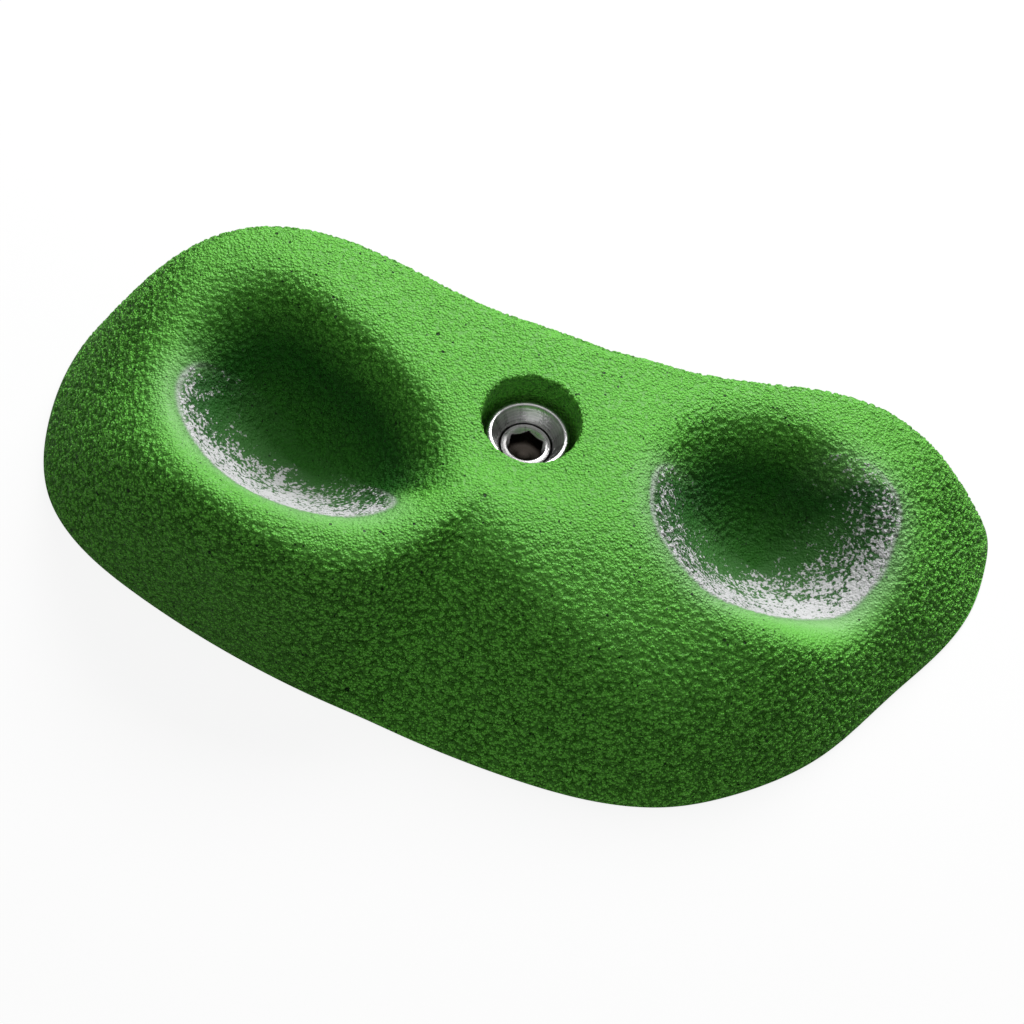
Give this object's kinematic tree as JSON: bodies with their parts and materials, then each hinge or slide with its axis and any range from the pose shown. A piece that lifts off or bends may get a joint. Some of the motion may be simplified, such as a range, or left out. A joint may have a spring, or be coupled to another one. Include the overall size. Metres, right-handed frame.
{
  "type": "climbing hold",
  "caption": "Oblong cast-resin climbing hold with deep finger pockets, a flat back, and a socket-head bolt with a cup washer sunk in a counterbore.",
  "frame": {"origin": "on the bolt's axis, in the plane of the flat back", "axes": "+X along the hold towards its narrow end, +Y across it towards the side with the waist, +Z out of the wall along the bolt"},
  "size_m": [0.244, 0.1257, 0.0726],
  "materials": {
    "green_resin": "coarse leathery grain",
    "plated_steel": "dull zinc plate",
    "turned_stainless": "turned, with fine concentric marks",
    "bolt_stainless": "satin"
  },
  "bodies": {
    "hold": {"hold_body": "green_resin", "seat_ring": "plated_steel"},
    "washer": {"cup_washer": "turned_stainless"},
    "bolt": {"bolt": "bolt_stainless"}
  },
  "joints": [
    {"name": "washer_lift", "type": "slide", "parent": "hold", "child": "washer", "axis": [0, 0, 1], "range_m": [0, 0.046]},
    {"name": "bolt_turn", "type": "hinge", "parent": "washer", "child": "bolt", "pos_m": [0, 0, 0.0228], "axis": [0, 0, 1], "continuous": true}
  ]
}
